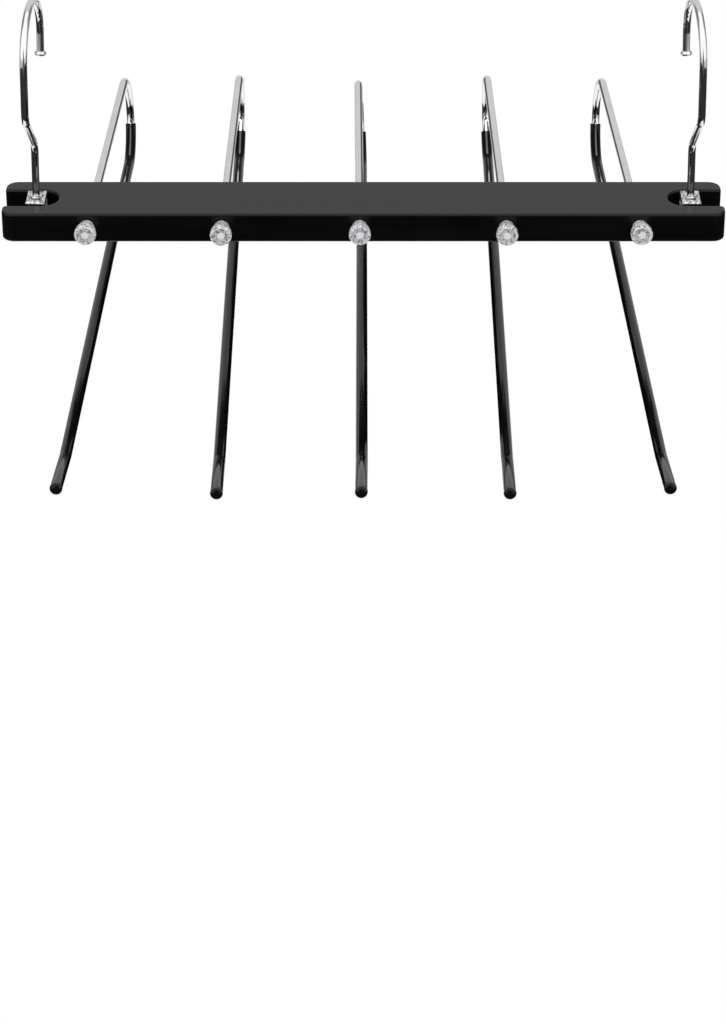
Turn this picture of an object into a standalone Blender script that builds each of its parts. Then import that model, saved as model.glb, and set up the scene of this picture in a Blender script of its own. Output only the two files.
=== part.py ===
"""Trouser hanger: a slotted wooden bar, five swinging U-bent arms and two folding, swivelling hooks.

Metres, +Z up. The origin is the centre of the bar's underside, +X runs along the bar and the arms
point along Y, with their free ends at -Y.
"""
import math

import bmesh
import bpy

# bar
bar_length = 0.380
bar_depth = 0.042
bar_height = 0.016
bar_corner_radius = 0.0065
bar_edge_fillet = 0.0017
slot_width = 0.019
slot_length = 0.029
slot_mouth_radius = 0.002

# clearances
touch_gap = 0.0003
running_gap = 0.0006
overrun = 0.004
weld_distance = 0.00001

# arms: one wire each, in through the bar, round a U behind it and forward again under it
arm_wire_radius = 0.00225
arm_hole_rise = 0.001
arm_hole_clearance = 0.0005
arm_back_reach = 0.1708
arm_front_reach = 0.183
arm_bend_radius = 0.025
arm_tip_length = 0.0418
arm_tip_rise = math.radians(6.0)
arm_tip_bend_radius = 0.040
coat_wall = 0.00045
coat_end_wall = 0.003

# each arm: its hole as a share of half the bar, then how it hangs and how much longer it is bent
# (yaw, splay, swing and tilt in degrees, extra reach in metres, coating start in degrees of the U)
arm_place_shares = (-0.758, -0.389, -0.0105, 0.392, 0.758)
arm_yaw = (-2.2, -0.9, 0.3, 1.15, 2.3)
arm_splay = (0.5, 1.1, -0.3, -1.4, -0.6)
arm_swing = (-1.8, 0.9, -2.3, -1.35, 1.7)
arm_tilt = (-0.5, 0.1, -0.55, 0.05, -0.55)
arm_extra_reach = (0.0009, 0.0003, -0.0026, 0.0003, 0.0009)
coat_start = (110.0, 125.0, 118.0, 125.0, 110.0)

# bell-shaped stopper on the front end of each arm
stopper_length = 0.0115
stopper_neck_radius = 0.0041
stopper_head_radius = 0.0060
stopper_rim_radius = 0.0014
stopper_rim_length = 0.0028
stopper_front_wall = 0.0014

# collar pressed on each arm behind the bar
collar_radius = 0.0045
collar_length = 0.0030
collar_chamfer = 0.0005

# swivel block: an inverted U that folds on a pin across the slot
pivot_inset = 0.017
pivot_radius = 0.0020
pivot_front_depth = 0.0060
pivot_back_recess = 0.0012
pivot_chamfer = 0.0003
block_width = 0.0104
block_depth = 0.0156
block_rise = 0.0089
block_drop = 0.0052
block_top_wall = 0.0030
block_leg_wall = 0.0024
block_edge_fillet = 0.0006
recess_radius = 0.0041
recess_depth = 0.0008

# hook: shank, jog, spine, round mouth and headed tip, all in one plane
hook_wire_radius = 0.0020
hook_lean = math.radians(1.1)
hook_turn = math.radians(5.2)
hook_shank_height = 0.0295
hook_jog_height = 0.0535
hook_jog_reach = 0.0250
hook_mouth_height = 0.0832
hook_mouth_radius = 0.0250
hook_tip_length = 0.0109
hook_bend_radius = 0.012
hook_head_radius = 0.0031
hook_head_length = 0.0024
hook_head_step = 0.0001
hook_foot_radius = 0.0034
hook_foot_length = 0.0017
hook_collar_radius = 0.0031
hook_collar_height = 0.0011

# how finely round shapes are made
bend_steps = 14
mouth_steps = 20
turned_steps = 24
wire_bevel_resolution = 2
hook_bevel_resolution = 4

# shares used to shape a round end or a flare from straight steps
dome_shares = (0.0, 0.35, 0.62, 0.82, 0.95)
flare_shares = (0.0, 0.25, 0.45, 0.6, 0.75, 0.88, 1.0)
last_dome_share = 0.12
head_shares = (0.0, 0.4, 0.7, 0.9, 0.98)
collar_chamfer_share = 0.33

bar_middle = bar_height / 2
arm_hole_height = bar_middle + arm_hole_rise
pivot_place = bar_length / 2 - pivot_inset


def clear_scene():
    for ob in list(bpy.data.objects):
        bpy.data.objects.remove(ob, do_unlink=True)


def make_collection(name):
    collection = bpy.data.collections.new(name)
    bpy.context.scene.collection.children.link(collection)
    return collection


def make_material(name, colour, roughness, metallic, alpha=1.0):
    material = bpy.data.materials.new(name)
    material.use_nodes = True
    shader = material.node_tree.nodes["Principled BSDF"]
    shader.inputs["Base Color"].default_value = (*colour, 1.0)
    shader.inputs["Roughness"].default_value = roughness
    shader.inputs["Metallic"].default_value = metallic
    shader.inputs["Alpha"].default_value = alpha
    return material


def lacquer_material(name):
    return make_material(name, (0.012, 0.012, 0.013), 0.35, 0.0)


def chrome_material(name):
    return make_material(name, (0.78, 0.78, 0.79), 0.08, 1.0)


def nickel_material(name):
    return make_material(name, (0.70, 0.69, 0.66), 0.25, 1.0)


def coating_material(name):
    return make_material(name, (0.010, 0.010, 0.011), 0.25, 0.0)


def clear_plastic_material(name):
    return make_material(name, (0.86, 0.86, 0.90), 0.2, 0.0, 0.5)


def place(ob, collection, material, parent=None, location=(0, 0, 0), rotation=(0, 0, 0)):
    for old in list(ob.users_collection):
        old.objects.unlink(ob)
    collection.objects.link(ob)
    ob.parent = parent
    ob.location = location
    ob.rotation_euler = rotation
    if material:
        ob.data.materials.clear()
        ob.data.materials.append(material)
    return ob


def smooth(mesh, angle=40):
    mesh.shade_smooth()
    mesh.set_sharp_from_angle(angle=math.radians(angle))


def add_empty(name, collection, parent, location, rotation, order="XYZ"):
    empty = bpy.data.objects.new(name, None)
    collection.objects.link(empty)
    empty.parent = parent
    empty.location = location
    empty.rotation_mode = order
    empty.rotation_euler = rotation
    return empty


def arc(centre, radius, start, end, steps):
    """Points of an arc in a plane, both ends included, angles in degrees."""
    angles = [math.radians(start + (end - start) * i / steps) for i in range(steps + 1)]
    return [(centre[0] + radius * math.cos(a), centre[1] + radius * math.sin(a)) for a in angles]


def rounded_corner(before, corner, after, radius, steps):
    """Points that round a corner of a route in a plane with a tangent arc."""
    ax, ay = before[0] - corner[0], before[1] - corner[1]
    bx, by = after[0] - corner[0], after[1] - corner[1]
    la, lb = math.hypot(ax, ay), math.hypot(bx, by)
    ax, ay, bx, by = ax / la, ay / la, bx / lb, by / lb
    half = math.acos(max(-1.0, min(1.0, ax * bx + ay * by))) / 2
    reach = radius / math.tan(half)
    mx, my = ax + bx, ay + by
    lm = math.hypot(mx, my)
    away = radius / math.sin(half)
    centre = (corner[0] + mx / lm * away, corner[1] + my / lm * away)
    first = (corner[0] + ax * reach - centre[0], corner[1] + ay * reach - centre[1])
    last = (corner[0] + bx * reach - centre[0], corner[1] + by * reach - centre[1])
    turn = math.atan2(first[0] * last[1] - first[1] * last[0], first[0] * last[0] + first[1] * last[1])
    points = []
    for i in range(steps + 1):
        a = turn * i / steps
        x = first[0] * math.cos(a) - first[1] * math.sin(a)
        y = first[0] * math.sin(a) + first[1] * math.cos(a)
        points.append((centre[0] + x, centre[1] + y))
    return points


def wire_curve(name, route, radius, bevel_resolution):
    """A round wire along a route of (x, y, z, share of the radius)."""
    curve = bpy.data.curves.new(name, "CURVE")
    curve.dimensions = "3D"
    curve.bevel_depth = radius
    curve.bevel_resolution = bevel_resolution
    curve.use_fill_caps = True
    spline = curve.splines.new("POLY")
    spline.points.add(len(route) - 1)
    for point, (x, y, z, share) in zip(spline.points, route):
        point.co = (x, y, z, 1)
        point.radius = share
        point.tilt = 0
    return bpy.data.objects.new(name, curve)


def curve_to_mesh(ob, collection):
    """The evaluated curve as a mesh object of the same name, its caps welded."""
    collection.objects.link(ob)
    bpy.context.view_layer.update()
    depsgraph = bpy.context.evaluated_depsgraph_get()
    mesh = bpy.data.meshes.new_from_object(ob.evaluated_get(depsgraph))
    bm = bmesh.new()
    bm.from_mesh(mesh)
    bmesh.ops.remove_doubles(bm, verts=bm.verts, dist=weld_distance)
    bmesh.ops.recalc_face_normals(bm, faces=bm.faces)
    bm.to_mesh(mesh)
    bm.free()
    name = ob.name
    matrix = ob.matrix_world.copy()
    bpy.data.objects.remove(ob, do_unlink=True)
    mesh.name = name
    made = bpy.data.objects.new(name, mesh)
    made.matrix_world = matrix
    return made


def cutter(ob, cutters, parent=None, location=(0, 0, 0), rotation=(0, 0, 0)):
    place(ob, cutters, None, parent, location, rotation)
    ob.hide_render = True
    ob.display_type = "WIRE"
    return ob


def rod(name, radius, length, sides=turned_steps):
    """A cylinder about its own Z axis, centred on its origin."""
    mesh = bpy.data.meshes.new(name)
    bm = bmesh.new()
    bmesh.ops.create_cone(bm, cap_ends=True, segments=sides, radius1=radius, radius2=radius, depth=length)
    bm.to_mesh(mesh)
    bm.free()
    return bpy.data.objects.new(name, mesh)


def box(name, size):
    mesh = bpy.data.meshes.new(name)
    bm = bmesh.new()
    bmesh.ops.create_cube(bm, size=1)
    bmesh.ops.scale(bm, verts=bm.verts, vec=size)
    bm.to_mesh(mesh)
    bm.free()
    return bpy.data.objects.new(name, mesh)


def cut(ob, tool):
    modifier = ob.modifiers.new(tool.name, "BOOLEAN")
    modifier.operation = "DIFFERENCE"
    modifier.solver = "EXACT"
    modifier.object = tool


def bevel(ob, width, segments, angle=60):
    modifier = ob.modifiers.new("edges", "BEVEL")
    modifier.width = width
    modifier.segments = segments
    modifier.limit_method = "ANGLE"
    modifier.angle_limit = math.radians(angle)


def turned(name, profile, steps=turned_steps):
    """A profile of (radius, height), top to bottom on its outer side, turned about Z."""
    mesh = bpy.data.meshes.new(name)
    bm = bmesh.new()
    verts = [bm.verts.new((radius, 0, height)) for radius, height in profile]
    for a, b in zip(verts, verts[1:]):
        bm.edges.new((a, b))
    if profile[0][0] > 0:
        bm.edges.new((verts[-1], verts[0]))
    bm.to_mesh(mesh)
    bm.free()
    ob = bpy.data.objects.new(name, mesh)
    screw = ob.modifiers.new("turn", "SCREW")
    screw.steps = steps
    screw.render_steps = steps
    screw.use_merge_vertices = True
    screw.merge_threshold = weld_distance
    screw.use_smooth_shade = True
    return ob


def bar_outline():
    """The bar seen from above: rounded corners and a round-ended slot open at each end."""
    end, side, half_slot = bar_length / 2, bar_depth / 2, slot_width / 2
    corner, mouth = bar_corner_radius, slot_mouth_radius
    slot_centre = end - slot_length + half_slot
    right = arc((end - corner, -side + corner), corner, -90, 0, 6)
    right += arc((end - mouth, -half_slot - mouth), mouth, 0, 90, 4)
    right += arc((slot_centre, 0), half_slot, -90, -270, 16)
    right += arc((end - mouth, half_slot + mouth), mouth, -90, 0, 4)
    right += arc((end - corner, side - corner), corner, 0, 90, 6)
    left = [(-x, y) for x, y in reversed(right)]
    return right + left


def make_bar(parts, cutters, arm_seats):
    mesh = bpy.data.meshes.new("bar")
    bm = bmesh.new()
    under = bm.faces.new([bm.verts.new((x, y, -bar_height / 2)) for x, y in bar_outline()])
    raised = bmesh.ops.extrude_face_region(bm, geom=[under])
    top = [part for part in raised["geom"] if isinstance(part, bmesh.types.BMVert)]
    bmesh.ops.translate(bm, verts=top, vec=(0, 0, bar_height))
    bmesh.ops.recalc_face_normals(bm, faces=bm.faces)
    bm.to_mesh(mesh)
    bm.free()
    bar = bpy.data.objects.new("bar", mesh)
    place(bar, parts, lacquer_material("black_lacquer"), None, (0, 0, bar_middle))
    smooth(bar.data)
    bevel(bar, bar_edge_fillet, 3)
    hole_length = bar_depth + 2 * overrun
    for number, seat in enumerate(arm_seats, 1):
        hole = rod("arm_hole_%d" % number, arm_wire_radius + arm_hole_clearance, hole_length)
        cutter(hole, cutters, seat, (0, 0, 0), (math.radians(90), 0, 0))
        cut(bar, hole)
    for side, word in ((-1, "left"), (1, "right")):
        # blind in the front cheek, open at the back face
        front = -slot_width / 2 - pivot_front_depth - touch_gap
        back = bar_depth / 2 + overrun
        hole = rod("pin_hole_%s" % word, pivot_radius + touch_gap, back - front)
        where = (side * pivot_place, (front + back) / 2, bar_middle)
        cutter(hole, cutters, None, where, (math.radians(90), 0, 0))
        cut(bar, hole)
    return bar


def make_arm_seat(index, parts):
    """The arm's turning axis as an empty: its own Y axis runs along the upper leg."""
    place_x = arm_place_shares[index] * bar_length / 2
    turn = (math.radians(arm_tilt[index]), math.radians(arm_swing[index]), math.radians(arm_yaw[index]))
    name = "arm_axis_%d" % (index + 1)
    return add_empty(name, parts, None, (place_x, 0, arm_hole_height), turn, "YXZ")


def u_bend(index, start):
    """Points of the U from an angle in degrees, 0 at the upper leg, to the lower leg at 180."""
    middle = arm_back_reach + arm_extra_reach[index]
    steps = max(3, round(bend_steps * (180 - start) / 180))
    points = []
    for i in range(steps + 1):
        a = math.radians(start + (180 - start) * i / steps)
        y = middle + arm_bend_radius * math.sin(a)
        points.append((0.0, y, -arm_bend_radius + arm_bend_radius * math.cos(a)))
    return points


def lower_leg(index, shorter):
    """Points from the U forward to the turned-up tip, less a length at the very end."""
    depth = -2 * arm_bend_radius
    knee = -arm_front_reach + arm_extra_reach[index]
    reach = arm_tip_length - shorter
    tip = (knee - reach * math.cos(arm_tip_rise), depth + reach * math.sin(arm_tip_rise))
    bend = rounded_corner((arm_back_reach, depth), (knee, depth), tip, arm_tip_bend_radius, 3)
    splay = math.tan(math.radians(arm_splay[index]))
    start = arm_back_reach + arm_extra_reach[index]
    return [((start - y) * splay, y, z) for y, z in bend + [tip]]


def arm_front_end():
    """Where the wire's front end stops inside its stopper, along the arm's own Y axis."""
    return -bar_depth / 2 - running_gap - stopper_length + stopper_front_wall + touch_gap


def make_arm_wire(index, parts, seat):
    name = "arm_wire_%d" % (index + 1)
    route = [(0.0, arm_front_end(), 0.0)]
    route += u_bend(index, 0) + lower_leg(index, coat_end_wall + touch_gap)
    wire = wire_curve(name, [(*p, 1.0) for p in route], arm_wire_radius, wire_bevel_resolution)
    place(wire, parts, chrome_material("arm_chrome_%d" % (index + 1)), seat)
    return wire


def make_coating(index, parts, cutters, seat):
    """A soft sleeve from the U to the tip, with a closed round end."""
    outer = arm_wire_radius + touch_gap + coat_wall
    name = "arm_coating_%d" % (index + 1)
    route = [(*p, 1.0) for p in u_bend(index, coat_start[index]) + lower_leg(index, outer)]
    before, last = route[-2], route[-1]
    run = math.dist(before[:3], last[:3])
    ahead = [(last[k] - before[k]) / run for k in range(3)]
    for share in dome_shares[1:] + (1.0,):
        round_share = max(last_dome_share, math.sqrt(1 - share * share))
        route.append((*[last[k] + ahead[k] * outer * share for k in range(3)], round_share))
    sleeve = curve_to_mesh(wire_curve(name, route, outer, wire_bevel_resolution), parts)
    bore = u_bend(index, coat_start[index])
    first = (bore[0][0], bore[0][1] - (bore[1][1] - bore[0][1]), bore[0][2] - (bore[1][2] - bore[0][2]))
    bore = [first] + bore + lower_leg(index, coat_end_wall)
    tool = wire_curve("coating_bore_%d" % (index + 1), [(*p, 1.0) for p in bore],
                      arm_wire_radius + touch_gap, wire_bevel_resolution)
    tool = curve_to_mesh(tool, cutters)
    cutter(tool, cutters, seat)
    place(sleeve, parts, coating_material("black_coating_%d" % (index + 1)), seat)
    smooth(sleeve.data, 60)
    cut(sleeve, tool)
    return sleeve


def stopper_profile():
    """Front to back: a rounded head, a flare and a neck, with a blind bore for the wire."""
    front, rim, head = stopper_length, stopper_rim_radius, stopper_head_radius
    bore = arm_wire_radius + touch_gap
    flare_length = front - stopper_rim_length
    profile = [(0.0, front)]
    profile += arc((head - rim, front - rim), rim, 90, 0, 4)
    for share in reversed(flare_shares):
        swell = (1 - math.cos(math.pi * share)) / 2
        profile.append((stopper_neck_radius + (head - stopper_neck_radius) * swell, flare_length * share))
    blind_end = front - stopper_front_wall
    profile += [(bore, 0.0), (bore, blind_end), (0.0, blind_end)]
    return profile


def make_stopper(index, parts, seat):
    stopper = turned("stopper_%d" % (index + 1), stopper_profile())
    plastic = clear_plastic_material("clear_plastic_%d" % (index + 1))
    where = (0, -bar_depth / 2 - running_gap, 0)
    place(stopper, parts, plastic, seat, where, (math.radians(90), 0, 0))
    return stopper


def make_collar(index, parts, seat):
    outer, inner, chamfer = collar_radius, arm_wire_radius + touch_gap, collar_chamfer
    half = collar_length / 2
    profile = [(inner, half), (outer - chamfer, half), (outer, half - chamfer),
               (outer, -half + chamfer), (outer - chamfer, -half), (inner, -half)]
    collar = turned("rear_collar_%d" % (index + 1), profile)
    steel = nickel_material("collar_steel_%d" % (index + 1))
    where = (0, bar_depth / 2 + running_gap + half, 0)
    place(collar, parts, steel, seat, where, (math.radians(90), 0, 0))
    return collar


def make_pivot_pin(side, word, parts):
    front = -slot_width / 2 - pivot_front_depth
    back = bar_depth / 2 - pivot_back_recess
    pin = rod("pivot_pin_%s" % word, pivot_radius, back - front)
    steel = nickel_material("pin_steel_%s" % word)
    where = (side * pivot_place, (front + back) / 2, bar_middle)
    place(pin, parts, steel, None, where, (math.radians(90), 0, 0))
    smooth(pin.data)
    bevel(pin, pivot_chamfer, 1)
    return pin


def make_block(word, parts, cutters, fold):
    """An inverted U in the slot: top plate for the hook, a leg each side for the pin."""
    height = block_rise + block_drop
    block = box("swivel_block_%s" % word, (block_width, block_depth, height))
    place(block, parts, nickel_material("nickel_%s" % word), fold, (0, 0, (block_rise - block_drop) / 2))
    smooth(block.data)
    hollow_height = height - block_top_wall + overrun
    between_legs = block_depth - 2 * block_leg_wall
    hollow = box("block_hollow_%s" % word, (block_width + 2 * overrun, between_legs, hollow_height))
    cutter(hollow, cutters, fold, (0, 0, block_rise - block_top_wall - hollow_height / 2))
    cut(block, hollow)
    bevel(block, block_edge_fillet, 2)
    pin_hole = rod("block_pin_hole_%s" % word, pivot_radius + touch_gap, block_depth + 2 * overrun)
    cutter(pin_hole, cutters, fold, (0, 0, 0), (math.radians(90), 0, 0))
    cut(block, pin_hole)
    shank_clearance = hook_wire_radius + touch_gap
    shank_hole = rod("block_shank_hole_%s" % word, shank_clearance, block_top_wall + 2 * overrun)
    cutter(shank_hole, cutters, fold, (0, 0, block_rise - block_top_wall / 2))
    cut(block, shank_hole)
    recess = rod("block_recess_%s" % word, recess_radius, recess_depth + overrun)
    cutter(recess, cutters, fold, (0, 0, block_rise - recess_depth + (recess_depth + overrun) / 2))
    cut(block, recess)
    return block


def hook_route():
    """The hook from its foot to its tip, as (reach, height, share of the wire's radius)."""
    foot_top = -block_top_wall - touch_gap
    foot_share = hook_foot_radius / hook_wire_radius
    head_share = hook_head_radius / hook_wire_radius
    foot_bottom = foot_top - hook_foot_length
    foot_edge = foot_top - hook_head_step
    route = [(0.0, foot_bottom, foot_share), (0.0, foot_edge, foot_share), (0.0, foot_top, 1.0)]
    shank = (0.0, hook_shank_height)
    jog = (-hook_jog_reach, hook_jog_height)
    spine = (-hook_mouth_radius, hook_mouth_height)
    route += [(u, z, 1.0) for u, z in rounded_corner((0.0, 0.0), shank, jog, hook_bend_radius, 5)]
    route += [(u, z, 1.0) for u, z in rounded_corner(shank, jog, spine, hook_bend_radius, 5)]
    mouth = arc((0.0, hook_mouth_height), hook_mouth_radius, 180, 0, mouth_steps)
    route += [(u, z, 1.0) for u, z in mouth]
    low = hook_mouth_height - hook_tip_length
    route.append((hook_mouth_radius, low, 1.0))
    for share in head_shares:
        swell = 1 + (head_share - 1) * math.sqrt(1 - share * share)
        route.append((hook_mouth_radius, low - hook_head_step - hook_head_length * share, swell))
    return route


def make_hook(word, parts, swivel):
    route = [(0.0, reach, height, share) for reach, height, share in hook_route()]
    hook = wire_curve("hook_%s" % word, route, hook_wire_radius, hook_bevel_resolution)
    place(hook, parts, chrome_material("hook_chrome_%s" % word), swivel)
    return hook


def make_hook_collar(word, parts, swivel):
    inner, outer, top = hook_wire_radius + touch_gap, hook_collar_radius, hook_collar_height
    base = -recess_depth + touch_gap
    chamfer = (outer - inner) * collar_chamfer_share
    profile = [(inner, base + top), (outer - chamfer, base + top), (outer, base + top - chamfer),
               (outer, base), (inner, base)]
    collar = turned("hook_collar_%s" % word, profile)
    place(collar, parts, nickel_material("hook_collar_steel_%s" % word), swivel)
    return collar


def make_hook_set(side, word, parts, cutters):
    pivot = (side * pivot_place, 0, bar_middle)
    fold = add_empty("fold_axis_%s" % word, parts, None, pivot, (0, -side * hook_lean, 0))
    swivel = add_empty("swivel_axis_%s" % word, parts, fold, (0, 0, block_rise), (0, 0, side * hook_turn))
    make_pivot_pin(side, word, parts)
    make_block(word, parts, cutters, fold)
    make_hook(word, parts, swivel)
    make_hook_collar(word, parts, swivel)


def main():
    clear_scene()
    parts = make_collection("trouser_hanger")
    cutters = make_collection("cutters")
    seats = [make_arm_seat(index, parts) for index in range(len(arm_place_shares))]
    make_bar(parts, cutters, seats)
    for index, seat in enumerate(seats):
        make_arm_wire(index, parts, seat)
        make_coating(index, parts, cutters, seat)
        make_stopper(index, parts, seat)
        make_collar(index, parts, seat)
    for side, word in ((-1, "left"), (1, "right")):
        make_hook_set(side, word, parts, cutters)
    bpy.context.view_layer.update()


main()
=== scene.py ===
import math

import bmesh
import bpy
from mathutils import Euler, Matrix, Vector


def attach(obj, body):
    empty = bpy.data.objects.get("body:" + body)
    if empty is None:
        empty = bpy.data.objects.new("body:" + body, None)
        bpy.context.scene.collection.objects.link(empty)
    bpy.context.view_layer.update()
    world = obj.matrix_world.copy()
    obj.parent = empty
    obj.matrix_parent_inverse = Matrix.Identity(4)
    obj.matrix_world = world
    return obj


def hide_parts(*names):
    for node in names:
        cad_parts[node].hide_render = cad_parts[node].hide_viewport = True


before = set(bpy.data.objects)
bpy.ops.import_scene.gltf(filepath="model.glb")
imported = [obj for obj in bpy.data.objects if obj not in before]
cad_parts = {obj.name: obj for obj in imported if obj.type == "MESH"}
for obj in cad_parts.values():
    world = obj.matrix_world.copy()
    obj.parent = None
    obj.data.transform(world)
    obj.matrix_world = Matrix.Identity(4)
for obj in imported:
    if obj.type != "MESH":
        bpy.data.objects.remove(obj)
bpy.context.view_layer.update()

# in all settings, sizes and places are in metres and angles in degrees
meshSettings = {"rodSides": 48, "turnSteps": 64, "mergeWithin": 0.000002, "firstPoint": 0.001,
                "normalWeight": 60}
tiny = 0.0001  # an edge counts as lying at a place when its middle is this near to it
steep = 0.9  # a direction counts as upright when its upward part is over this


# small helpers for modelling

def deselectAll():
    if bpy.context.object and bpy.context.object.mode != "OBJECT":
        bpy.ops.object.mode_set(mode="OBJECT")
    bpy.ops.object.select_all(action="DESELECT")


def named(name):
    piece = bpy.context.object
    piece.name = name
    piece.data.name = name
    return piece


def editAll():
    bpy.ops.object.mode_set(mode="EDIT")
    bpy.ops.mesh.select_mode(type="VERT")
    bpy.ops.mesh.select_all(action="SELECT")


def leaveEdit():
    bpy.ops.object.mode_set(mode="OBJECT")


def pick(piece, test, kind="EDGE"):
    # selects the edges or faces whose middle and direction pass the test
    bpy.ops.mesh.select_mode(type=kind)
    bpy.ops.mesh.select_all(action="DESELECT")
    mesh = bmesh.from_edit_mesh(piece.data)
    if kind == "FACE":
        for face in mesh.faces:
            face.select = test(face.calc_center_median(), face.normal)
    else:
        for edge in mesh.edges:
            a, b = edge.verts[0].co, edge.verts[1].co
            edge.select = test((a + b) / 2, (b - a).normalized())
    mesh.select_flush_mode()
    bmesh.update_edit_mesh(piece.data)


def onlyThis(piece):
    deselectAll()
    piece.select_set(True)
    bpy.context.view_layer.objects.active = piece


def makeBox(name, middle, size):
    deselectAll()
    bpy.ops.mesh.primitive_cube_add(size=1, location=middle, scale=size)
    box = named(name)
    bpy.ops.object.transform_apply(location=True, scale=True)
    return box


def makeRod(name, radius, length, middle, upright=True):
    # stands upright, or else lies along Y
    deselectAll()
    turn = (0, 0, 0) if upright else (math.pi / 2, 0, 0)
    bpy.ops.mesh.primitive_cylinder_add(vertices=meshSettings["rodSides"], radius=radius, depth=length,
                                        location=middle, rotation=turn)
    rod = named(name)
    bpy.ops.object.transform_apply(location=True, rotation=True)
    return rod


def bevelEdges(piece, test, width, segments):
    # rounds only the edges that pass the test
    onlyThis(piece)
    editAll()
    pick(piece, test)
    bpy.ops.mesh.bevel(offset=width, segments=segments, affect="EDGES")
    leaveEdit()


def useModifier(piece, kind, **values):
    onlyThis(piece)
    bpy.ops.object.modifier_add(type=kind)
    modifier = piece.modifiers[-1]
    for key, value in values.items():
        setattr(modifier, key, value)
    bpy.ops.object.modifier_apply(modifier=modifier.name)


def roundEdges(piece, width, segments, degrees, clamp=True):
    # rounds every edge that is sharper than the angle
    useModifier(piece, "BEVEL", width=width, segments=segments, limit_method="ANGLE",
                angle_limit=math.radians(degrees), use_clamp_overlap=clamp)


def cutAway(piece, tool):
    useModifier(piece, "BOOLEAN", operation="DIFFERENCE", solver="EXACT", object=tool)
    bpy.data.objects.remove(tool, do_unlink=True)


def settle(piece, matrix):
    # puts a piece modelled at the origin in its place, with the place in its mesh
    onlyThis(piece)
    piece.matrix_world = matrix
    bpy.ops.object.transform_apply(location=True, rotation=True, scale=True)


def soften(piece, degrees, weighted=False):
    onlyThis(piece)
    bpy.ops.object.shade_smooth_by_angle(angle=math.radians(degrees))
    if weighted:
        useModifier(piece, "WEIGHTED_NORMAL", keep_sharp=True, weight=meshSettings["normalWeight"])


def dress(piece, material, body, node):
    piece.data.materials.clear()
    piece.data.materials.append(material)
    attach(piece, body)
    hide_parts(node)


def bendWire(name, radius, sides, start, heading, moves):
    # a ring that is pulled along the wire, and stays in edit mode; a move is one of
    # ("go", vector), ("turn", centre, axis, degrees, steps) and ("swell", share)
    deselectAll()
    turn = Vector(heading).to_track_quat("Z", "Y").to_euler()
    bpy.ops.mesh.primitive_circle_add(vertices=sides, radius=radius, location=start, rotation=turn)
    piece = named(name)
    bpy.ops.object.transform_apply(location=True, rotation=True)
    editAll()
    place = Vector(start)
    for move in moves:
        if move[0] == "go":
            bpy.ops.mesh.extrude_region_move(TRANSFORM_OT_translate={"value": tuple(move[1])})
            place = place + Vector(move[1])
        elif move[0] == "turn":
            centre, axis, angle = Vector(move[1]), Vector(move[2]), math.radians(move[3])
            bpy.ops.mesh.spin(steps=move[4], angle=angle, center=centre, axis=axis)
            place = centre + Matrix.Rotation(-angle, 3, axis) @ (place - centre)  # spin runs clockwise
        else:
            bpy.ops.transform.resize(value=(move[1], move[1], move[1]), center_override=tuple(place))
    return piece


def pointOutwards():
    # the last step in edit mode
    bpy.ops.mesh.select_all(action="SELECT")
    bpy.ops.mesh.normals_make_consistent(inside=False)
    leaveEdit()


def closeEnds():
    bpy.ops.mesh.select_all(action="SELECT")
    bpy.ops.mesh.fill_holes(sides=0)
    pointOutwards()


def turnProfile(name, profile):
    # (radius, distance along Y) drawn point by point, then spun about Y
    deselectAll()
    bpy.ops.mesh.primitive_plane_add(size=meshSettings["firstPoint"])
    piece = named(name)
    editAll()
    bpy.ops.mesh.merge(type="CENTER")
    bpy.ops.transform.translate(value=(profile[0][0], profile[0][1], 0))
    for before, after in zip(profile, profile[1:]):
        step = (after[0] - before[0], after[1] - before[1], 0)
        bpy.ops.mesh.extrude_region_move(TRANSFORM_OT_translate={"value": step})
    bpy.ops.mesh.select_all(action="SELECT")
    bpy.ops.mesh.spin(steps=meshSettings["turnSteps"], angle=2 * math.pi, center=(0, 0, 0), axis=(0, 1, 0))
    bpy.ops.mesh.select_all(action="SELECT")
    bpy.ops.mesh.remove_doubles(threshold=meshSettings["mergeWithin"])
    pointOutwards()
    return piece


def arcPoints(centre, radius, first, last, steps):
    points = []
    for i in range(steps + 1):
        a = math.radians(first + (last - first) * i / steps)
        points.append((centre[0] + radius * math.cos(a), centre[1] + radius * math.sin(a)))
    return points


# small helpers for materials

def addNode(tree, kind, **values):
    # a value in lower case is a setting of the node, one with a capital is an input, with _ for a space
    node = tree.nodes.new(kind)
    for key, value in values.items():
        if key[0].isupper():
            node.inputs[key.replace("_", " ")].default_value = value
        else:
            setattr(node, key, value)
    return node


def addRange(tree, span, result=(0, 1)):
    # turns one span of values into another, and stays level beyond its ends
    return addNode(tree, "ShaderNodeMapRange", From_Min=span[0], From_Max=span[1],
                   To_Min=result[0], To_Max=result[1])


def join(tree, source, output, target, entry):
    tree.links.new(source.outputs[output], target.inputs[entry])


# materials: dark and light are the ends of the mottling, spread is where on the noise they lie

lacquerSettings = {"shader": {"IOR": 1.36}, "scale": 60, "stretch": (0.25, 3, 3), "spread": (0.35, 0.65),
                   "detail": 4, "dark": (0.0012, 0.0012, 0.0013), "light": (0.0022, 0.0022, 0.0023),
                   "rough": (0.20, 0.26), "bump": 0.03, "bumpDepth": 0.0002}
chromeSettings = {"shader": {"Metallic": 1}, "scale": 90, "stretch": (1, 1, 1), "spread": (0.35, 0.65),
                  "detail": 4, "dark": (0.84, 0.84, 0.85), "light": (0.90, 0.90, 0.91),
                  "rough": (0.035, 0.07), "bump": 0.02, "bumpDepth": 0.0001}
nickelSettings = {"shader": {"Metallic": 1}, "scale": 650, "stretch": (1, 1, 1), "spread": (0.42, 0.52),
                  "detail": 4, "dark": (0.30, 0.30, 0.31), "light": (0.94, 0.94, 0.94),
                  "rough": (0.12, 0.30), "bump": 0.5, "bumpDepth": 0.0003}
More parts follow.
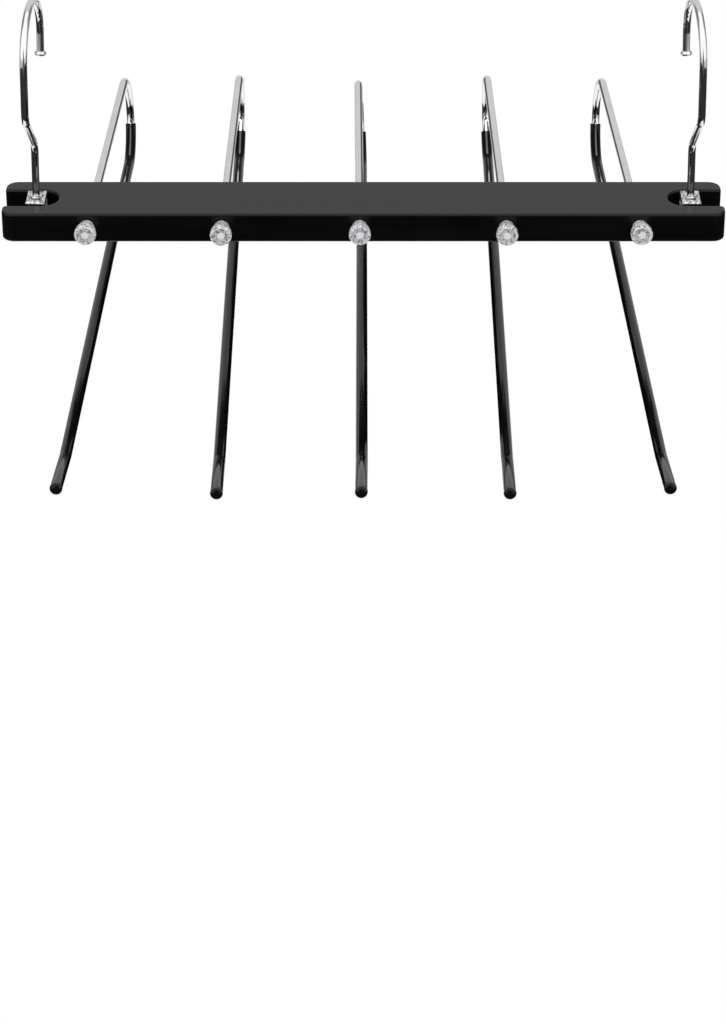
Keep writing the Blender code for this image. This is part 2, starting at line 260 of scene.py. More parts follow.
coatingSettings = {"shader": {"IOR": 1.36}, "scale": 120, "stretch": (1, 0.4, 1), "spread": (0.35, 0.65),
                   "detail": 4, "dark": (0.0018, 0.0018, 0.0018), "light": (0.0034, 0.0034, 0.0034),
                   "rough": (0.09, 0.15), "bump": 0.04, "bumpDepth": 0.0001}
clearSettings = {"shader": {"IOR": 1.49, "Transmission Weight": 0.34}, "scale": 880, "stretch": (1, 1, 1),
                 "spread": (0.38, 0.51), "detail": 2, "dark": (0.20, 0.20, 0.23), "light": (0.99, 0.99, 1.0),
                 "rough": (0.05, 0.24), "bump": 0.9, "bumpDepth": 0.0005,
                 # the ring's colour is painted shade and the button's colour a painted highlight, each mixed
                 # in by its share
                 "paintedShadeColour": (0.20, 0.20, 0.23), "paintedShadeShare": 0.35,
                 "paintedHighlightColour": (0.98, 0.98, 0.99), "paintedHighlightShare": 0.9}
roughSpan = (0.3, 0.7)  # the noise values at which a material is smoothest and roughest


def mottledMaterial(name, s):
    # one noise drives the colour, the roughness and a faint relief
    material = bpy.data.materials.new(name)
    material.use_nodes = True
    tree = material.node_tree
    shader = tree.nodes["Principled BSDF"]
    for key, value in s["shader"].items():
        shader.inputs[key].default_value = value
    where = addNode(tree, "ShaderNodeTexCoord")
    mapping = addNode(tree, "ShaderNodeMapping", Scale=s["stretch"])
    noise = addNode(tree, "ShaderNodeTexNoise", Scale=s["scale"], Detail=s["detail"])
    ramp = addNode(tree, "ShaderNodeValToRGB")
    for end, position, colour in zip(ramp.color_ramp.elements, s["spread"], (s["dark"], s["light"])):
        end.position = position
        end.color = (*colour, 1)
    rough = addRange(tree, roughSpan, s["rough"])
    relief = addNode(tree, "ShaderNodeBump", Strength=s["bump"], Distance=s["bumpDepth"])
    join(tree, where, "Object", mapping, "Vector")
    join(tree, mapping, "Vector", noise, "Vector")
    join(tree, noise, "Fac", ramp, "Fac")
    join(tree, noise, "Fac", rough, "Value")
    join(tree, noise, "Fac", relief, "Height")
    join(tree, ramp, "Color", shader, "Base Color")
    join(tree, rough, "Result", shader, "Roughness")
    join(tree, relief, "Normal", shader, "Normal")
    return material


def paintLightAndShade(material, s):
    # the tone mark is 1 on a stopper's button, painted plain bright as a painted highlight for the chrome
    # wire end seen through the plastic, 0 on the ring round it, painted grey as painted shade, and a half
    # elsewhere
    tree = material.node_tree
    shader = tree.nodes["Principled BSDF"]
    tone = addNode(tree, "ShaderNodeAttribute", attribute_name="tone")
    colour = shader.inputs["Base Color"].links[0].from_socket
    for mark, shade, share in ((0, s["paintedShadeColour"], s["paintedShadeShare"]), (1, s["paintedHighlightColour"], s["paintedHighlightShare"])):
        amount = addRange(tree, (0.5, mark), (0, share))
        blend = addNode(tree, "ShaderNodeMix", data_type="RGBA", B=(*shade, 1))
        join(tree, tone, "Fac", amount, "Value")
        join(tree, amount, "Result", blend, "Factor")
        tree.links.new(colour, blend.inputs["A"])
        colour = blend.outputs["Result"]
    tree.links.new(colour, shader.inputs["Base Color"])


lacquer = mottledMaterial("blackLacquer", lacquerSettings)
armChrome = mottledMaterial("armChrome", chromeSettings)
hookChrome = mottledMaterial("hookChrome", chromeSettings)
nickel = mottledMaterial("blockNickel", nickelSettings)
collarSteel = mottledMaterial("collarSteel", nickelSettings)
pinSteel = mottledMaterial("pinSteel", nickelSettings)
coating = mottledMaterial("blackCoating", coatingSettings)
clearPlastic = mottledMaterial("clearPlastic", clearSettings)
# paints a highlight on each stopper's button and shade on the ring round it
paintLightAndShade(clearPlastic, clearSettings)
print("materials made")


# the bar

barSettings = {"length": 0.380, "depth": 0.042, "height": 0.016, "corner": 0.0065, "cornerSteps": 10,
               "fillet": 0.0013, "filletSteps": 6, "sharp": 60, "smooth": 35,
               "slotWidth": 0.019, "slotLength": 0.029, "slotRound": 0.00949, "slotSteps": 20,
               "mouthRadius": 0.002, "mouthSteps": 6, "armHole": 0.00275, "armHeight": 0.009,
               "pinHole": 0.0023, "pinFront": -0.0155, "pivot": 0.173, "toolSpare": 0.01, "pinSpare": 0.004}

# the five arms, left to right: where the hole is along the bar, how the arm is turned in it, how far its
# lower leg runs aside, how much longer than usual it is, and how far round the bend its coating starts
armSettings = [{"place": -0.14402, "yaw": -2.2, "splay": 0.5, "swing": -1.8, "tilt": -0.5,
                "extra": 0.0009, "coat": 110},
               {"place": -0.07391, "yaw": -0.9, "splay": 1.1, "swing": 0.9, "tilt": 0.1,
                "extra": 0.0003, "coat": 125},
               {"place": -0.001995, "yaw": 0.3, "splay": -0.3, "swing": -2.3, "tilt": -0.55,
                "extra": -0.0026, "coat": 118},
               {"place": 0.07448, "yaw": 1.15, "splay": -1.4, "swing": -1.35, "tilt": 0.05,
                "extra": 0.0003, "coat": 125},
               {"place": 0.14402, "yaw": 2.3, "splay": -0.6, "swing": 1.7, "tilt": -0.55,
                "extra": 0.0009, "coat": 110}]


def armMatrix(arm):
    turn = Euler((math.radians(arm["tilt"]), math.radians(arm["swing"]), math.radians(arm["yaw"])), "YXZ")
    return Matrix.Translation((arm["place"], 0, barSettings["armHeight"])) @ turn.to_matrix().to_4x4()


def isUpright(way):
    return abs(way.z) > steep


def makeBar(s):
    bar = makeBox("lacqueredBar", (0, 0, s["height"] / 2), (s["length"], s["depth"], s["height"]))
    bevelEdges(bar, lambda middle, way: isUpright(way), s["corner"], s["cornerSteps"])
    end, half = s["length"] / 2, s["slotWidth"] / 2
    inner = end - s["slotLength"]
    long = s["slotLength"] + s["toolSpare"]

    def atSlotEnd(middle, way):
        return isUpright(way) and abs(middle.x) < inner + tiny

    def atSlotMouth(middle, way):
        return isUpright(way) and abs(abs(middle.x) - end) < tiny and abs(abs(middle.y) - half) < tiny

    for side in (-1, 1):
        slotTool = makeBox("slotTool", (side * (inner + long / 2), 0, s["height"] / 2),
                           (long, s["slotWidth"], s["height"] * 2))
        bevelEdges(slotTool, atSlotEnd, s["slotRound"], s["slotSteps"])
        cutAway(bar, slotTool)
    bevelEdges(bar, atSlotMouth, s["mouthRadius"], s["mouthSteps"])
    roundEdges(bar, s["fillet"], s["filletSteps"], s["sharp"], clamp=False)
    for arm in armSettings:
        holeTool = makeRod("armHoleTool", s["armHole"], s["depth"] + s["toolSpare"], (0, 0, 0), upright=False)
        settle(holeTool, armMatrix(arm))
        cutAway(bar, holeTool)
    pinLong = s["depth"] / 2 + s["pinSpare"] - s["pinFront"]
    for side in (-1, 1):
        pinMiddle = (side * s["pivot"], s["pinFront"] + pinLong / 2, s["height"] / 2)
        cutAway(bar, makeRod("pinHoleTool", s["pinHole"], pinLong, pinMiddle, upright=False))
    soften(bar, s["smooth"], weighted=True)
    dress(bar, lacquer, "bar", "bar")


makeBar(barSettings)
print("bar made")


# the arms

wireSettings = {"radius": 0.00225, "sides": 32, "front": -0.0314, "back": 0.1708, "bendRadius": 0.025,
                "bendSteps": 40, "knee": -0.183, "kneeRadius": 0.040, "kneeSteps": 6, "tipLength": 0.0418,
                "tipRise": 6, "endGap": 0.0036, "smooth": 50}


def lowerLegMoves(s, arm, short):
    # from the bend's lower end to the knee, and up the tip, which ends short
    splay = math.tan(math.radians(arm["splay"]))
    rise = math.radians(s["tipRise"])
    tangent = s["kneeRadius"] * math.tan(rise / 2)
    back, knee = s["back"] + arm["extra"], s["knee"] + arm["extra"]
    run = back - knee - tangent
    kneeCentre = (run * splay, knee + tangent, s["kneeRadius"] - 2 * s["bendRadius"])
    tip = s["tipLength"] - tangent - short
    return [("go", (run * splay, -run, 0)),
            ("turn", kneeCentre, (1, 0, 0), s["tipRise"], s["kneeSteps"]),
            ("go", (tip * splay, -tip * math.cos(rise), tip * math.sin(rise)))]


def makeArmWire(number, arm):
    s = wireSettings
    back = s["back"] + arm["extra"]
    moves = [("go", (0, back - s["front"], 0)),
             ("turn", (0, back, -s["bendRadius"]), (1, 0, 0), 180, s["bendSteps"])]
    moves += lowerLegMoves(s, arm, s["endGap"])
    wire = bendWire("chromeArm%d" % number, s["radius"], s["sides"], (0, s["front"], 0), (0, 1, 0), moves)
    closeEnds()
    soften(wire, s["smooth"])
    settle(wire, armMatrix(arm))
    dress(wire, armChrome, "arm_%d" % number, "arm_wire_%d" % number)


coatSettings = {"radius": 0.0030, "wall": 0.0006, "sides": 32, "bendStep": 4,
                "lip": 0.00022, "lipSteps": 3, "sharp": 60, "smooth": 50,
                "groove": 0.00273, "grooveFrom": 0.0001, "grooveTo": 0.0003,
                "head": 0.00313, "headFrom": 0.0005, "headSide": 0.0008, "headEdge": 0.0015,
                "headFace": 0.00294, "headSteps": 9, "headTurn": 89.5, "headPower": 2 / 3}


def coatEnd(c):
    # (distance along the tip, radius): a groove, then a round-edged head with a nearly flat face
    outline = [(0, c["radius"]), (c["grooveFrom"], c["groove"]), (c["grooveTo"], c["groove"]),
               (c["headFrom"], c["radius"]), (c["headSide"], c["head"])]
    for k in range(c["headSteps"] + 1):
        a = math.radians(c["headTurn"] * k / c["headSteps"])
        along = c["headEdge"] + (c["headFace"] - c["headEdge"]) * math.sin(a)
        outline.append((along, c["head"] * math.cos(a) ** c["headPower"]))
    return outline


def makeCoating(number, arm):
    s, c = wireSettings, coatSettings
    back, bend = s["back"] + arm["extra"], s["bendRadius"]
    a = math.radians(arm["coat"])
    start = (0, back + bend * math.sin(a), bend * math.cos(a) - bend)
    heading = (0, math.cos(a), -math.sin(a))
    left = 180 - arm["coat"]
    moves = [("turn", (0, back, -bend), (1, 0, 0), left, round(left / c["bendStep"]))]
    moves += lowerLegMoves(s, arm, c["radius"])
    rise = math.radians(s["tipRise"])
    ahead = Vector((0, -math.cos(rise), math.sin(rise)))
    outline = coatEnd(c)
    for before, after in zip(outline, outline[1:]):
        moves.append(("go", ahead * (after[0] - before[0])))
        moves.append(("swell", after[1] / before[1]))
    sleeve = bendWire("blackCoating%d" % number, c["radius"], c["sides"], start, heading, moves)
    bpy.ops.mesh.edge_face_add()  # only the tip is closed
    pointOutwards()
    useModifier(sleeve, "SOLIDIFY", thickness=c["wall"], offset=-1, use_rim=True)
    roundEdges(sleeve, c["lip"], c["lipSteps"], c["sharp"])
    soften(sleeve, c["smooth"])
    settle(sleeve, armMatrix(arm))
    dress(sleeve, coating, "arm_%d" % number, "arm_coating_%d" % number)


# the front of the cap, as radius and depth: a raised button in a shallow ring
stopperFront = [(0, 0), (0.0008, 0.00003), (0.0014, 0.00013), (0.0019, 0.00034), (0.0022, 0.00062),
                (0.0024, 0.00088), (0.0028, 0.00092), (0.0034, 0.00074), (0.0040, 0.00040), (0.0044, 0.00012)]
stopperSettings = {"seat": 0.0216, "length": 0.0115, "neck": 0.0041, "head": 0.0057, "rim": 0.0014,
                   "rimSteps": 8, "bore": 0.00255, "frontWall": 0.0014, "flareFrom": 0.0030, "flareSteps": 12,
                   "backEdge": 0.0005, "backRound": 0.0004, "smooth": 40,
                   "button": 0.0021, "ring": 0.0043, "markDepth": 0.0011}


def paintedLightAt(s, out, depth):
    # by distance from the axis and depth from the front: 1 marks the painted highlight on the button, 0 the
    # painted shade on the ring round it
    if depth > s["markDepth"] or out > s["ring"]:
        return 0.5
    return 1.0 if out < s["button"] else 0.0


def makeStopper(number, arm):
    s = stopperSettings
    face = -s["seat"] - s["length"]  # the head looks forward, along -Y
    profile = [(radius, face + depth) for radius, depth in stopperFront]
    profile += arcPoints((s["head"] - s["rim"], face + s["rim"]), s["rim"], -90, 0, s["rimSteps"])
    flare = s["length"] - s["flareFrom"] - s["backEdge"]
    for k in range(1, s["flareSteps"] + 1):
        share = k / s["flareSteps"]
        swell = (1 + math.cos(math.pi * share)) / 2
        profile.append((s["neck"] + (s["head"] - s["neck"]) * swell, face + s["flareFrom"] + flare * share))
    profile += [(s["neck"] - s["backRound"], -s["seat"]), (s["bore"], -s["seat"]),
                (s["bore"], face + s["frontWall"]), (0, face + s["frontWall"])]
    stopper = turnProfile("clearStopper%d" % number, profile)
    # the tone mark says where the painted highlight and the painted shade go on the stopper's front
    tone = stopper.data.attributes.new("tone", "FLOAT", "POINT")
    for vertex, mark in zip(stopper.data.vertices, tone.data):
        mark.value = paintedLightAt(s, math.hypot(vertex.co.x, vertex.co.z), vertex.co.y - face)
    soften(stopper, s["smooth"])
    settle(stopper, armMatrix(arm))
    dress(stopper, clearPlastic, "arm_%d" % number, "stopper_%d" % number)


collarSettings = {"outer": 0.0045, "inner": 0.00255, "near": 0.0216, "length": 0.0030, "round": 0.0006,
                  "roundSteps": 5, "smooth": 40}


def makeCollar(number, arm):
    s = collarSettings
    far, r = s["near"] + s["length"], s["round"]
    profile = [(s["inner"], s["near"])]
    profile += arcPoints((s["outer"] - r, s["near"] + r), r, -90, 0, s["roundSteps"])
    profile += arcPoints((s["outer"] - r, far - r), r, 0, 90, s["roundSteps"])
    profile += [(s["inner"], far), (s["inner"], s["near"])]
    collar = turnProfile("rearCollar%d" % number, profile)
    soften(collar, s["smooth"])
    settle(collar, armMatrix(arm))
    dress(collar, collarSteel, "arm_%d" % number, "rear_collar_%d" % number)


for number, arm in enumerate(armSettings, 1):
    makeArmWire(number, arm)
    makeCoating(number, arm)
    makeStopper(number, arm)
    makeCollar(number, arm)
print("arms made")


# the swivel blocks and hooks

blockSettings = {"width": 0.0104, "depth": 0.0156, "rise": 0.0089, "drop": 0.0052, "plate": 0.0030,
                 "leg": 0.0024, "frame": 0.0013, "sink": 0.0004, "recess": 0.0041, "recessDepth": 0.0008,
                 "recessTool": 0.004, "shoulder": 0.0013, "shoulderSteps": 5, "round": 0.0002,
                 "roundSteps": 3, "sharp": 50, "smooth": 40, "shankHole": 0.0023, "pinHole": 0.0023}
hookSettings = {"radius": 0.0020, "sides": 32, "lean": 1.1, "turn": 5.2, "shank": 0.0295,
                "jog": (-0.0250, 0.0535), "jogRadius": 0.012, "jogSteps": 10, "mouthHeight": 0.0832,
                "mouthRadius": 0.0250, "mouthSteps": 48, "tip": 0.0093, "tipLean": 3.2,
                "bead": 0.0031, "beadHalf": 0.0018, "beadRings": (36, 20, 4, -12, -28, -44, -60, -75, -86),
                "foot": 0.0034, "footLength": 0.0017, "footGap": 0.0003, "footRound": 0.0004,
                "footRise": 0.0003, "footStep": 0.0001, "smooth": 50}
ringSettings = {"inner": 0.0021, "outer": 0.0031, "base": -0.0005, "top": 0.0006, "round": 0.0004,
                "roundSteps": 6, "smooth": 40}


def foldMatrix(side):
    lean = Matrix.Rotation(-side * math.radians(hookSettings["lean"]), 4, "Y")
    return Matrix.Translation((side * barSettings["pivot"], 0, barSettings["height"] / 2)) @ lean


def swivelMatrix(side):
    turn = Matrix.Rotation(side * math.radians(hookSettings["turn"]), 4, "Z")
    return foldMatrix(side) @ Matrix.Translation((0, 0, blockSettings["rise"])) @ turn


def makeBlock(side, word):
    s = blockSettings
    tall = s["rise"] + s["drop"]
    block = makeBox("swivelBlock%s" % word.capitalize(), (0, 0, (s["rise"] - s["drop"]) / 2),
                    (s["width"], s["depth"], tall))
    # the top gets a raised frame round a sunk field
    editAll()
    pick(block, lambda middle, normal: normal.z > steep, "FACE")
    bpy.ops.mesh.inset(thickness=s["frame"])
    bpy.ops.mesh.extrude_region_move(TRANSFORM_OT_translate={"value": (0, 0, -s["sink"])})
    leaveEdit()
    # the tools reach well past the block
    cutAway(block, makeBox("hollowTool", (0, 0, s["rise"] - s["plate"] - tall / 2),
                           (s["width"] * 2, s["depth"] - 2 * s["leg"], tall)))
    cutAway(block, makeRod("pinTool", s["pinHole"], s["depth"] * 1.5, (0, 0, 0), upright=False))
    cutAway(block, makeRod("shankTool", s["shankHole"], s["plate"] * 3, (0, 0, s["rise"] - s["plate"] / 2)))
    recessMiddle = s["rise"] - s["recessDepth"] + s["recessTool"] / 2
    cutAway(block, makeRod("recessTool", s["recess"], s["recessTool"], (0, 0, recessMiddle)))
    top, halfWidth, halfDepth = s["rise"] - tiny, s["width"] / 2 - tiny, s["depth"] / 2 - tiny

    def roundTop(middle, way):
        return middle.z > top and (abs(middle.x) > halfWidth or abs(middle.y) > halfDepth)

    bevelEdges(block, roundTop, s["shoulder"], s["shoulderSteps"])
    roundEdges(block, s["round"], s["roundSteps"], s["sharp"])
    soften(block, s["smooth"], weighted=True)
    settle(block, foldMatrix(side))
    dress(block, nickel, "swivel_%s" % word, "swivel_block_%s" % word)


def cornerMoves(before, corner, after, radius, steps):
    # straight to the corner's rounding, then round it; gives the moves and the place where the rounding ends.
    # The points are world (Y, Z), and counter-clockwise in that plane is right-handed about +X
    a = (Vector(corner) - Vector(before)).normalized()
    b = (Vector(after) - Vector(corner)).normalized()
    turned = math.atan2(a.x * b.y - a.y * b.x, a.dot(b))  # counter-clockwise is positive
    tangent = radius * math.tan(abs(turned) / 2)
    start = Vector(corner) - a * tangent
    centre = start + Vector((-a.y, a.x)) * math.copysign(radius, turned)
    move = start - Vector(before)
    moves = [("go", (0, move.x, move.y)),
             ("turn", (0, centre.x, centre.y), (1, 0, 0), -math.degrees(turned), steps)]
    return moves, Vector(corner) + b * tangent


def footMoves(s):
    # the peened foot under the block's plate: out to its full radius, up, and in to the shank's
    side = s["footLength"] - s["footRise"] - s["footStep"]
    return [("go", (0, 0, s["footRise"])), ("swell", s["foot"] / (s["foot"] - s["footRound"])),
            ("go", (0, 0, side)), ("go", (0, 0, s["footStep"])), ("swell", s["radius"] / s["foot"])]


def beadMoves(s, down):
    # the bead on the hook's tip, ring by ring, each given by its angle on the bead
    first = math.degrees(math.acos(s["radius"] / s["bead"]))
    angles = [math.radians(angle) for angle in (first, *s["beadRings"])]
    moves = []
    for before, after in zip(angles, angles[1:]):
        moves.append(("go", down * s["beadHalf"] * (math.sin(before) - math.sin(after))))
        moves.append(("swell", math.cos(after) / math.cos(before)))
    return moves


def makeHook(side, word):
    s = hookSettings
    foot = -blockSettings["plate"] - s["footGap"]
    jog, spine = s["jog"], (-s["mouthRadius"], s["mouthHeight"])
    toJog, at = cornerMoves((0, foot), (0, s["shank"]), jog, s["jogRadius"], s["jogSteps"])
    toSpine, at = cornerMoves(at, jog, spine, s["jogRadius"], s["jogSteps"])
    lean = math.radians(s["tipLean"])
    down = Vector((0, -math.sin(lean), -math.cos(lean)))
    moves = footMoves(s) + toJog + toSpine
    moves.append(("go", (0, spine[0] - at.x, spine[1] - at.y)))
    moves.append(("turn", (0, 0, s["mouthHeight"]), (1, 0, 0), 180 + s["tipLean"], s["mouthSteps"]))
    moves.append(("go", down * s["tip"]))
    moves += beadMoves(s, down)
    hook = bendWire("chromeHook%s" % word.capitalize(), s["foot"] - s["footRound"], s["sides"],
                    (0, 0, foot - s["footLength"]), (0, 0, 1), moves)
    closeEnds()
    soften(hook, s["smooth"])
    settle(hook, swivelMatrix(side))
    dress(hook, hookChrome, "hook_%s" % word, "hook_%s" % word)


def makeRing(side, word):
    s = ringSettings
    r = s["round"]
    profile = [(s["inner"], s["base"]), (s["outer"], s["base"])]
    profile += arcPoints((s["outer"] - r, s["top"] - r), r, 0, 90, s["roundSteps"])
    profile += [(s["inner"], s["top"]), (s["inner"], s["base"])]
    ring = turnProfile("shankRing%s" % word.capitalize(), profile)
    soften(ring, s["smooth"])
    settle(ring, Matrix.Rotation(math.pi / 2, 4, "X"))  # from along Y to upright
    settle(ring, swivelMatrix(side))
    dress(ring, nickel, "hook_%s" % word, "hook_collar_%s" % word)


def dressPin(word):
    # the pin keeps its CAD shape
    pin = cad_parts["pivot_pin_%s" % word]
    pin.data.materials.clear()
    pin.data.materials.append(pinSteel)


for side, word in ((-1, "left"), (1, "right")):
    makeBlock(side, word)
    makeHook(side, word)
    makeRing(side, word)
    dressPin(word)
print("hooks made")


# camera

cameraSettings = {"lens": 123.15, "sensor": 36, "place": (-0.0002, -1.6877, 0.7938), "down": 29.871}


def makeCamera(s):
    camera = bpy.data.cameras.new("photoCamera")
    camera.lens = s["lens"]
    camera.sensor_width = s["sensor"]
    holder = bpy.data.objects.new("photoCamera", camera)
    bpy.context.scene.collection.objects.link(holder)
    holder.location = s["place"]
    holder.rotation_euler = (math.radians(90 - s["down"]), 0, 0)
    bpy.context.scene.camera = holder


makeCamera(cameraSettings)
print("camera made")


# floor and sky

floorSettings = {"height": -0.35, "size": 12, "shade": (0.85, 0.85, 0.85, 1), "rough": 0.9,
                 "near": 1.0, "far": 0.62, "fadeSpan": (0.6, 0.9), "cardLift": 0.01}
skySettings = {"diffuse": 0.6, "high": 1.1, "back": 0.66, "side": 0.30, "backSpan": (0.30, 0.42),
               "lowSpan": (0.94, 0.90), "sideSpan": (0.50, 0.68), "behindSpan": (-0.10, 0.15)}


def makeFloor(s):
    # white to the camera and through clear plastic; reflections see it white near by and greyer further off
    deselectAll()
    bpy.ops.mesh.primitive_plane_add(size=s["size"], location=(0, 0, s["height"]))
    floor = named("paleFloor")
    material = bpy.data.materials.new("paleFloor")
    material.use_nodes = True
    tree = material.node_tree
    shader = tree.nodes["Principled BSDF"]
    shader.inputs["Base Color"].default_value = s["shade"]
    shader.inputs["Roughness"].default_value = s["rough"]
    path = addNode(tree, "ShaderNodeLightPath")
    where = addNode(tree, "ShaderNodeTexCoord")
    away = addNode(tree, "ShaderNodeVectorMath", operation="LENGTH")
    fade = addRange(tree, s["fadeSpan"], (s["near"], s["far"]))
    mirrored = addNode(tree, "ShaderNodeEmission")
    shown = addNode(tree, "ShaderNodeEmission")
    asSeen = addNode(tree, "ShaderNodeMath", operation="MAXIMUM")
    first = addNode(tree, "ShaderNodeMixShader")
    second = addNode(tree, "ShaderNodeMixShader")
    join(tree, where, "Object", away, 0)
    join(tree, away, "Value", fade, "Value")
    join(tree, fade, "Result", mirrored, "Strength")
    join(tree, path, "Is Glossy Ray", first, "Fac")
    join(tree, shader, "BSDF", first, 1)
    join(tree, mirrored, "Emission", first, 2)
    join(tree, path, "Is Camera Ray", asSeen, 0)
    join(tree, path, "Is Transmission Ray", asSeen, 1)
    join(tree, asSeen, "Value", second, "Fac")
    join(tree, first, "Shader", second, 1)
    join(tree, shown, "Emission", second, 2)
    join(tree, second, "Shader", tree.nodes["Material Output"], "Surface")
    floor.data.materials.append(material)


def makeSky(s):
    # white to the camera and softer for diffuse light; reflections see it greyer at the back and its corners
    world = bpy.data.worlds.new("studio")
    bpy.context.scene.world = world
    world.use_nodes = True
    tree = world.node_tree
    white = (1, 1, 1, 1)
    shown = tree.nodes["Background"]
    shown.inputs["Color"].default_value = white
    soft = addNode(tree, "ShaderNodeBackground", Color=white, Strength=s["diffuse"])
    mirrored = addNode(tree, "ShaderNodeBackground", Color=white)
    where = addNode(tree, "ShaderNodeTexCoord")
    parts = addNode(tree, "ShaderNodeSeparateXYZ")
    back = addRange(tree, s["backSpan"])  # 1 towards the back of the studio
    low = addRange(tree, s["lowSpan"])  # 1 below 64 degrees, 0 from 70 degrees up
    lowBack = addNode(tree, "ShaderNodeMath", operation="MULTIPLY")
    level = addRange(tree, (0, 1), (s["high"], s["back"]))
    across = addNode(tree, "ShaderNodeMath", operation="ABSOLUTE")
    aside = addRange(tree, s["sideSpan"])  # 1 far out to both sides
    behind = addRange(tree, s["behindSpan"])  # 1 behind the hanger
    corner = addNode(tree, "ShaderNodeMath", operation="MULTIPLY")
    dim = addRange(tree, (0, 1), (1, s["side"]))
    final = addNode(tree, "ShaderNodeMath", operation="MULTIPLY")
    path = addNode(tree, "ShaderNodeLightPath")
    first = addNode(tree, "ShaderNodeMixShader")
    second = addNode(tree, "ShaderNodeMixShader")
    join(tree, where, "Generated", parts, "Vector")
    join(tree, parts, "Y", back, "Value")
    join(tree, parts, "Z", low, "Value")
    join(tree, back, "Result", lowBack, 0)
    join(tree, low, "Result", lowBack, 1)
    join(tree, lowBack, "Value", level, "Value")
    join(tree, parts, "X", across, 0)
    join(tree, across, "Value", aside, "Value")
    join(tree, parts, "Y", behind, "Value")
    join(tree, aside, "Result", corner, 0)
    join(tree, behind, "Result", corner, 1)
    join(tree, corner, "Value", dim, "Value")
    join(tree, level, "Result", final, 0)
    join(tree, dim, "Result", final, 1)
    join(tree, final, "Value", mirrored, "Strength")
    join(tree, path, "Is Diffuse Ray", first, "Fac")
    join(tree, shown, "Background", first, 1)
    join(tree, soft, "Background", first, 2)
    join(tree, path, "Is Glossy Ray", second, "Fac")
    join(tree, first, "Shader", second, 1)
    join(tree, mirrored, "Background", second, 2)
    join(tree, second, "Shader", tree.nodes["World Output"], "Surface")


makeFloor(floorSettings)
makeSky(skySettings)
print("floor and sky made")


# boards that only reflections see

flat, upright, faceDown = (0, 0, 0), (math.pi / 2, 0, 0), (math.pi, 0, 0)
cardHeight = floorSettings["height"] + floorSettings["cardLift"]

# on the floor, at both sides
sideCards = [{"name": "darkFloorSide", "across": 0.925, "along": 0.275, "size": (0.85, 1.05), "tone": 0.03},
             {"name": "greyFloorSide", "across": 3.65, "along": 3.0, "size": (4.6, 6.0), "tone": 0.28}]

# the last four lie close to the hanger, for what its lower legs and tips reflect
boards = [{"name": "darkFloorFront", "place": (0, -0.7, cardHeight), "size": (2.7, 0.9), "turn": flat,
           "tone": 0.03, "kind": "plain"},
          {"name": "darkFrontWall", "place": (0, -1.16, 0.15), "size": (1.4, 1.0), "turn": upright,
           "tone": 0.13, "kind": "pointed"},
          {"name": "barShade", "place": (0, -0.0212, 0.0356), "size": (0.34, 0.0388), "turn": upright,
           "tone": 0.0, "kind": "oneSided"},
          {"name": "barLip", "place": (0, -0.0214, -0.0078), "size": (0.36, 0.0266), "turn": upright,
           "tone": 0.6, "kind": "oneSided"},
          {"name": "legShade", "place": (0, 0.2175, -0.018), "size": (0.36, 0.085), "turn": faceDown,
           "tone": 0.15, "kind": "oneSided"},
          {"name": "tipGlow", "place": (0, -0.190, -0.025), "size": (0.42, 0.055), "turn": faceDown,
           "tone": 1.5, "kind": "oneSided"}]


def makeBoard(name, place, size, turn, tone, kind):
    # a one-sided board is clear from behind, and a pointed one is a triangle
    deselectAll()
    bpy.ops.mesh.primitive_plane_add(size=1, location=place, rotation=turn)
    board = named(name)
    board.scale = (size[0], size[1], 1)
    if kind == "pointed":
        editAll()
        pick(board, lambda middle, way: middle.y > 0.4)  # the upper edge, in the board's own unit square
        bpy.ops.mesh.merge(type="CENTER")
        leaveEdit()
    material = bpy.data.materials.new(name)
    material.use_nodes = True
    tree = material.node_tree
    tree.nodes.clear()
    glow = addNode(tree, "ShaderNodeEmission", Strength=tone)
    out = addNode(tree, "ShaderNodeOutputMaterial")
    join(tree, glow, "Emission", out, "Surface")
    if kind == "oneSided":
        face = addNode(tree, "ShaderNodeNewGeometry")
        clear = addNode(tree, "ShaderNodeBsdfTransparent")
        mix = addNode(tree, "ShaderNodeMixShader")
        join(tree, face, "Backfacing", mix, "Fac")
        join(tree, glow, "Emission", mix, 1)
        join(tree, clear, "BSDF", mix, 2)
        join(tree, mix, "Shader", out, "Surface")
    board.data.materials.append(material)
    board.visible_camera = False
    board.visible_diffuse = False
    board.visible_shadow = False
    board.visible_transmission = False


upperLeg = barSettings["armHeight"]
lowerLeg = upperLeg - 2 * wireSettings["bendRadius"]

# three strips beside each arm: the angles that they fill round its leg, the leg's height, where they start
# and end along Y, and their tone
strips = [{"name": "upperFlag", "angles": (53.4, 116), "height": upperLeg, "near": 0.06, "far": 0.30,
           "tone": 0.10},
          {"name": "lowerFlag", "angles": (41, 161), "height": lowerLeg, "near": -0.03, "far": 0.13,
           "tone": 0.0},
          {"name": "frontFlag", "angles": (22, 161), "height": lowerLeg, "near": -0.12, "far": -0.03,
           "tone": 0.0}]
stripSettings = {"gap": 0.03, "leanByYaw": 3.2, "leanByPlace": 59.03}

# a small bright board over each lower leg, for the light spot where the coating starts
catchSettings = {"along": 0.183, "height": -0.0186, "size": (0.010, 0.016), "tone": 6}


def besideArm(arm, along):
    # where across the hanger the arm runs, that far along Y
    return arm["place"] - along * math.tan(math.radians(arm["yaw"]))


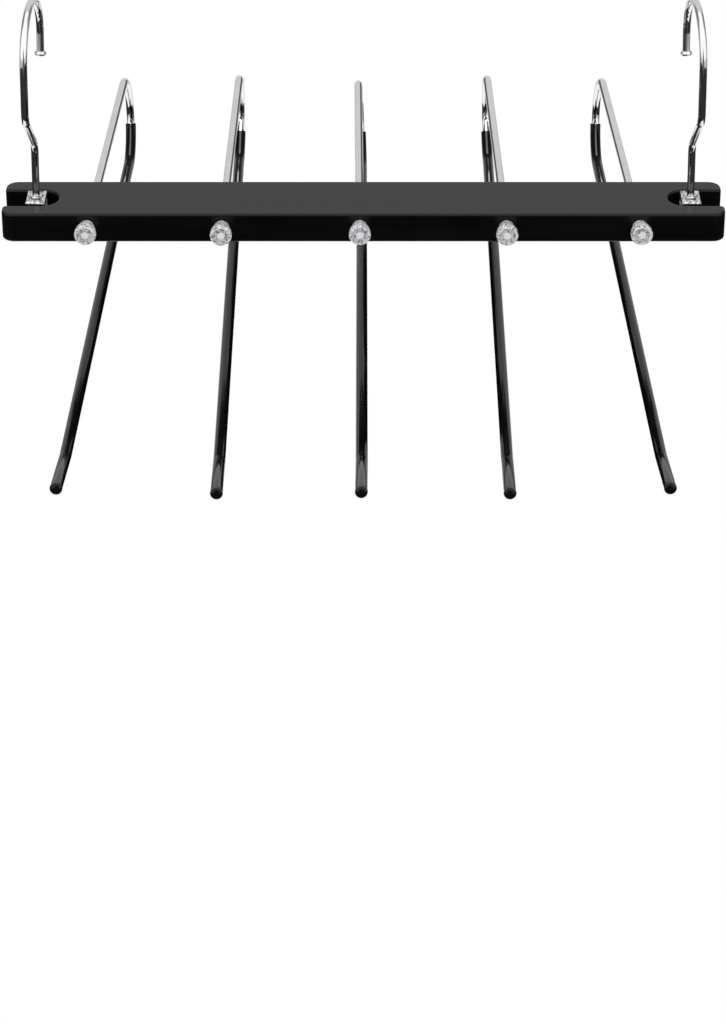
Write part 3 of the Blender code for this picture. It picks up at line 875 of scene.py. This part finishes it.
def makeStrip(number, arm, strip, s):
    # on the side of the hanger's middle, facing the arm; the lean is how far aside the camera sees the arm
    inward = -1 if arm["place"] > 0 else 1
    lean = abs(arm["yaw"]) * s["leanByYaw"] + abs(arm["place"]) * s["leanByPlace"]
    top, low = (s["gap"] / math.tan(math.radians(angle + lean)) for angle in strip["angles"])
    middle = (strip["near"] + strip["far"]) / 2
    place = (besideArm(arm, middle) + inward * s["gap"], middle, strip["height"] + (top + low) / 2)
    size = (top - low, strip["far"] - strip["near"])
    turn = (0, -inward * math.pi / 2, 0)
    makeBoard("%s%d" % (strip["name"], number), place, size, turn, strip["tone"], "oneSided")


def makeCatchLight(number, arm, s):
    place = (besideArm(arm, s["along"]), s["along"], s["height"])
    makeBoard("catchLight%d" % number, place, s["size"], faceDown, s["tone"], "oneSided")


for side in (-1, 1):
    for card in sideCards:
        cardPlace = (side * card["across"], card["along"], cardHeight)
        makeBoard(card["name"], cardPlace, card["size"], flat, card["tone"], "plain")
for board in boards:
    makeBoard(**board)
for number, arm in enumerate(armSettings, 1):
    for strip in strips:
        makeStrip(number, arm, strip, stripSettings)
    makeCatchLight(number, arm, catchSettings)
print("boards made")


# lamps

frontFill = {"name": "frontFill", "place": (0, -1.6, 0.7), "size": (1.0, 0.8), "power": 12, "through": False}
topLamp = {"name": "topLamp", "place": (0, 0.15, 1.3), "size": (0.9, 0.3), "power": 5, "through": True}


def makeLamp(s):
    # shines at the origin; reflections don't see it, and through says if it shows through clear plastic
    lamp = bpy.data.lights.new(s["name"], "AREA")
    lamp.shape = "RECTANGLE"
    lamp.size, lamp.size_y = s["size"]
    lamp.energy = s["power"]
    holder = bpy.data.objects.new(s["name"], lamp)
    bpy.context.scene.collection.objects.link(holder)
    holder.location = s["place"]
    holder.rotation_euler = (-Vector(s["place"])).to_track_quat("-Z", "Y").to_euler()
    holder.visible_glossy = False
    holder.visible_transmission = s["through"]


makeLamp(frontFill)
makeLamp(topLamp)
bpy.context.scene.view_settings.view_transform = "Standard"
print("lamps made")
